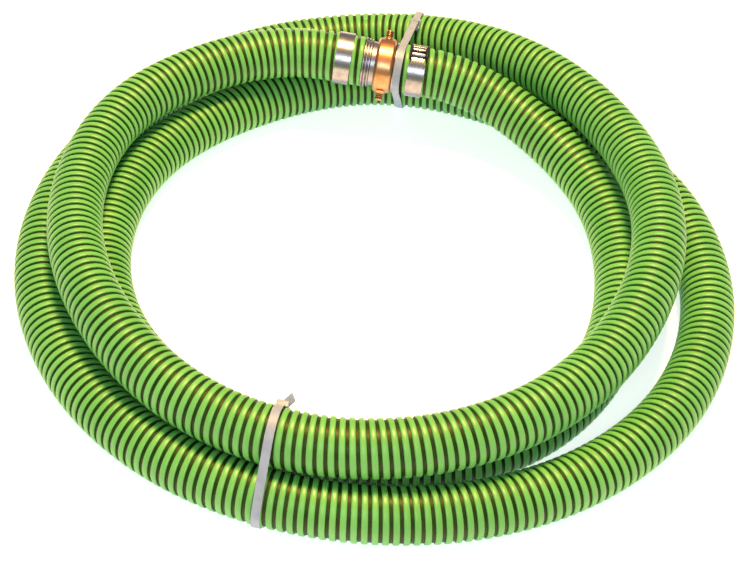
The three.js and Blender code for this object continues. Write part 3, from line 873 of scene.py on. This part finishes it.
class SUCTION_HOSE_OT_ties(HoseOperator, bpy.types.Operator):
    """Nylon cable ties round the turns of the coil"""
    bl_idname = "suction_hose.ties"
    bl_label = "Cable ties"

    def strands(self, middle, across, outward):
        """Ovals that the hose shows in a tie's plane: middles and half sizes, inside first.

        Each stands where the hose's line passes through the plane. Askew by a slope k it is
        wider by the root of 1 + k^2, and by half the strap's width times k.
        """
        loop = np.vstack([HOSE.point, on_joint_line(np.array([LEFT_HOSE_END, RIGHT_HOSE_END]) / 2)])
        start = loop - middle
        gap, out = start @ across, start @ outward
        step = np.roll(loop, -1, 0) - loop
        crossed = ((np.sign(gap) != np.sign(np.roll(gap, -1)))
                   & (np.abs(out) < TIE_REACH) & (np.abs(gap) < TIE_REACH))
        at = np.nonzero(crossed)[0]
        share = gap[at] / (gap[at] - np.roll(gap, -1)[at])
        hit = loop[at] + share[:, None] * step[at]
        way = step[at] / np.linalg.norm(step[at], axis=1, keepdims=True)
        askew = np.abs((way @ outward) / (way @ across))
        climb = np.abs(way[:, 2] / (way @ across))
        clear = HOSE_OUTSIDE / 2 + 0.1 * MM
        wide = clear * np.hypot(1, askew) + STRAP_WIDTH / 2 * askew
        tall = clear * np.hypot(1, climb) + STRAP_WIDTH / 2 * climb
        found = np.stack([(hit - middle) @ outward, hit[:, 2], wide, tall], 1)
        return found[np.argsort(found[:, 0])]

    def strap(self, ovals):
        """The strap's inner line and outward directions.

        In each direction n the line touches the oval that reaches furthest that way, at its
        middle plus (a^2 nx, b^2 ny) / root(a^2 nx^2 + b^2 ny^2). Straight runs join them.
        """
        turn = np.arange(1440) / 1440 * 2 * np.pi
        n = np.stack([np.cos(turn), np.sin(turn)], 1)
        size = ovals[:, 2:]
        stretch = np.sqrt((n[:, None] ** 2 * size[None] ** 2).sum(-1))
        touch = ovals[None, :, :2] + size[None] ** 2 * n[:, None] / stretch[..., None]
        best = ((ovals[None, :, :2] * n[:, None]).sum(-1) + stretch).argmax(1)
        line = touch[np.arange(len(turn)), best]
        step = np.linalg.norm(np.roll(line, -1, 0) - line, axis=1)
        run = np.append(0, np.cumsum(step))
        even = np.linspace(0, run[-1], 361)[:-1]
        closed = np.vstack([line, line[:1]])
        ahead = np.vstack([n, n[:1]])
        at = np.stack([np.interp(even, run, closed[:, k]) for k in range(2)], 1)
        out = np.stack([np.interp(even, run, ahead[:, k]) for k in range(2)], 1)
        return at, out / np.linalg.norm(out, axis=1, keepdims=True)

    def execute(self, context):
        options = context.scene.suction_tie
        finish = nylon_finish(options)
        for name, tie in TIES.items():
            middle = np.array([tie["x"], tie["y"], 0.0]) * MM + COIL_SHIFT
            turn = math.radians(tie["turn"])
            across = np.array([math.cos(turn), math.sin(turn), 0.0])
            outward = np.cross(UP, across)
            ovals = self.strands(middle, across, outward)
            at, out = self.strap(ovals)

            def in_plane(x, y, z):
                return (middle + x[..., None] * outward + y[..., None] * UP
                        + z[..., None] * across)

            half = STRAP_WIDTH / 2
            thick = STRAP_THICKNESS
            section = softened([[0, -half], [thick, -half], [thick, half], [0, half]], 0.35 * MM)
            lift, side = section.T
            ring = at[:, None] + lift[None, :, None] * out[:, None]
            strap = in_plane(ring[..., 0], ring[..., 1],
                             np.broadcast_to(side, ring.shape[:2]))
            held = ovals[tie["strand"]]
            head_turn = math.radians(tie["head"])
            seat = thick / 2 + math.hypot(held[2] * math.cos(head_turn),
                                          held[3] * math.sin(head_turn))

            def on_head(local):
                """Points (away from the strap, along it, across it) from the seat's middle."""
                a, b, c = np.moveaxis(local, -1, 0)
                x = held[0] + (seat + a) * math.cos(head_turn) - b * math.sin(head_turn)
                y = held[1] + (seat + a) * math.sin(head_turn) + b * math.cos(head_turn)
                return in_plane(x, y, c)

            box = rounded_block(HEAD, 1.3 * MM) + [HEAD[0] / 2, 0, 0]
            rim = rounded_block((1.4 * MM, 6.4 * MM, 10.6 * MM), 0.5 * MM)
            rim = rim + [HEAD[0] - 0.1 * MM, 0, 0]
            lean, back = math.radians(tie["lean"]), math.radians(tie["back"])
            way = np.array([math.cos(lean) * math.cos(back), -math.cos(lean) * math.sin(back),
                            -math.sin(lean)])
            flat = np.cross(way, [0, 0, 1.0])
            flat /= np.linalg.norm(flat)
            edge = np.cross(flat, way)
            long = tie["tail"] * MM
            count = int(long / (options.tooth / 4))
            run = np.linspace(0, long, count)
            tooth = 0.22 * MM * (0.5 + 0.5 * np.cos(run / options.tooth * 2 * np.pi))
            toothed = (lift[None] < thick / 2) & (np.abs(side[None]) < half * 0.75)
            depth = lift[None] + toothed * tooth[:, None]
            slant = 0.35 * side[None] * (run[:, None] / long)
            tail = (np.array([HEAD[0] / 2, 0, 0]) + (run[:, None] + slant)[..., None] * way
                    + (depth - thick / 2)[..., None] * flat
                    + np.broadcast_to(side, depth.shape)[..., None] * edge)
            parts = [(strap, True, 0), (on_head(box), False, 0), (on_head(rim), False, 0),
                     (on_head(tail), False, 0)]
            made = shells(f"{name}_tie", parts)
            dress(made, finish, stands_for=[f"{name}_cable_tie"])
        return {"FINISHED"}


class SUCTION_HOSE_OT_stage(HoseOperator, bpy.types.Operator):
    """Pale floor and soft lights"""
    bl_idname = "suction_hose.stage"
    bl_label = "Floor and lights"

    def light(self, name, power, colour, size, place):
        """A rectangular light that faces the coil's middle."""
        from mathutils import Vector
        data = bpy.data.lights.new(name, "AREA")
        data.energy, data.color = power, colour
        data.shape, data.size, data.size_y = "RECTANGLE", *size
        lamp = linked(name, data)
        lamp.location = place
        lamp.rotation_mode = "QUATERNION"
        lamp.rotation_quaternion = (-Vector(place)).to_track_quat("-Z", "Y")

    def execute(self, context):
        options = context.scene.suction_stage
        corners = FLOOR_HALF * np.array([[-1, -1, 0], [1, -1, 0], [1, 1, 0], [-1, 1, 0]])
        mesh = bpy.data.meshes.new("floor")
        mesh.from_pydata(corners.tolist(), [], [(0, 1, 2, 3)])
        mesh.materials.append(floor_finish(options))
        floor = linked("floor", mesh)

        self.light("overhead_light", options.overhead, **OVERHEAD_LIGHT)
        self.light("front_light", options.front, **FRONT_LIGHT)
        world = bpy.data.worlds.new("room")
        world.use_nodes = True
        background = next(n for n in world.node_tree.nodes if n.type == "BACKGROUND")
        background.inputs["Color"].default_value = (1.0, 1.0, 1.0, 1.0)
        background.inputs["Strength"].default_value = options.sky
        context.scene.world = world
        context.scene.view_settings.view_transform = "Standard"
        return {"FINISHED"}


class SUCTION_HOSE_PT_panel(bpy.types.Panel):
    """Lists the pieces of the hose and their settings"""
    bl_label = "Suction hose"
    bl_idname = "SUCTION_HOSE_PT_panel"
    bl_space_type = "VIEW_3D"
    bl_region_type = "UI"
    bl_category = "Hose"

    def draw(self, context):
        for group, operators in PANEL:
            box = self.layout.box()
            for operator in operators:
                box.operator(operator.bl_idname)
            settings = getattr(context.scene, group)
            for key in settings.__annotations__:
                box.prop(settings, key)


PANEL = (
    ("suction_hose", (SUCTION_HOSE_OT_wall, SUCTION_HOSE_OT_ribs)),
    ("suction_coupling", (SUCTION_HOSE_OT_couplings, SUCTION_HOSE_OT_nut)),
    ("suction_clamp", (SUCTION_HOSE_OT_clamps,)),
    ("suction_tie", (SUCTION_HOSE_OT_ties,)),
    ("suction_stage", (SUCTION_HOSE_OT_camera, SUCTION_HOSE_OT_stage)),
)
SETTINGS = {
    "suction_hose": HoseSettings, "suction_coupling": CouplingSettings,
    "suction_clamp": ClampSettings, "suction_tie": TieSettings, "suction_stage": StageSettings,
}
CLASSES = (*SETTINGS.values(), *(c for _, several in PANEL for c in several),
           SUCTION_HOSE_PT_panel)


def register():
    for cls in CLASSES:
        bpy.utils.register_class(cls)
    for name, cls in SETTINGS.items():
        setattr(bpy.types.Scene, name, PointerProperty(type=cls))


def unregister():
    for name in SETTINGS:
        delattr(bpy.types.Scene, name)
    for cls in reversed(CLASSES):
        bpy.utils.unregister_class(cls)


def main():
    register()
    bpy.ops.suction_hose.camera()
    bpy.ops.suction_hose.wall()
    bpy.ops.suction_hose.ribs()
    bpy.ops.suction_hose.couplings()
    bpy.ops.suction_hose.nut()
    bpy.ops.suction_hose.clamps()
    bpy.ops.suction_hose.ties()
    bpy.ops.suction_hose.stage()


if __name__ == "__main__":
    main()
